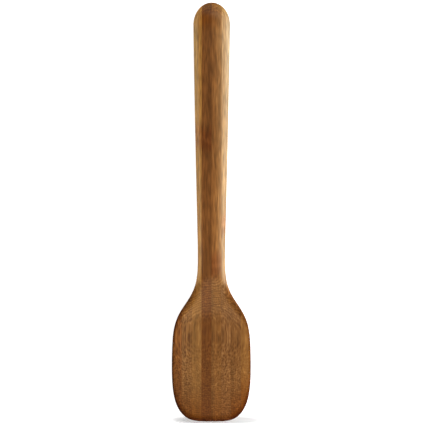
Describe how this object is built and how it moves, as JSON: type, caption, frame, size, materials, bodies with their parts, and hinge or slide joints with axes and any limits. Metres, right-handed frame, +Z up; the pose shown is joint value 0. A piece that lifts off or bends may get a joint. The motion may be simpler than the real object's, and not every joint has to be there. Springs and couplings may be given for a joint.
{
  "type": "cooking spoon",
  "caption": "Long-handled cooking spoon with a shallow squarish bowl and an oval handle, carved from upright bamboo strips glued side by side.",
  "frame": {"origin": "under the middle of the spoon's box, on the surface that it lies on, bowl up", "axes": "+Y along the spoon from the tip of the bowl to the end of the handle, +Z up out of the bowl, +X across to the right"},
  "size_m": [0.0576, 0.305, 0.0178],
  "materials": {
    "bamboo_mid": "carbonised bamboo, sanded smooth and oiled, satin",
    "bamboo_golden": "fine-grained carbonised bamboo, sanded smooth and oiled, satin",
    "bamboo_dark": "dense dark carbonised bamboo, sanded smooth and oiled, satin"
  },
  "bodies": {
    "root": {"left_edge_strip": "bamboo_mid", "left_outer_strip": "bamboo_mid", "left_inner_strip": "bamboo_golden", "left_core_strip": "bamboo_dark", "right_core_strip": "bamboo_mid", "right_inner_strip": "bamboo_mid", "right_outer_strip": "bamboo_mid", "right_edge_strip": "bamboo_golden"}
  },
  "joints": []
}
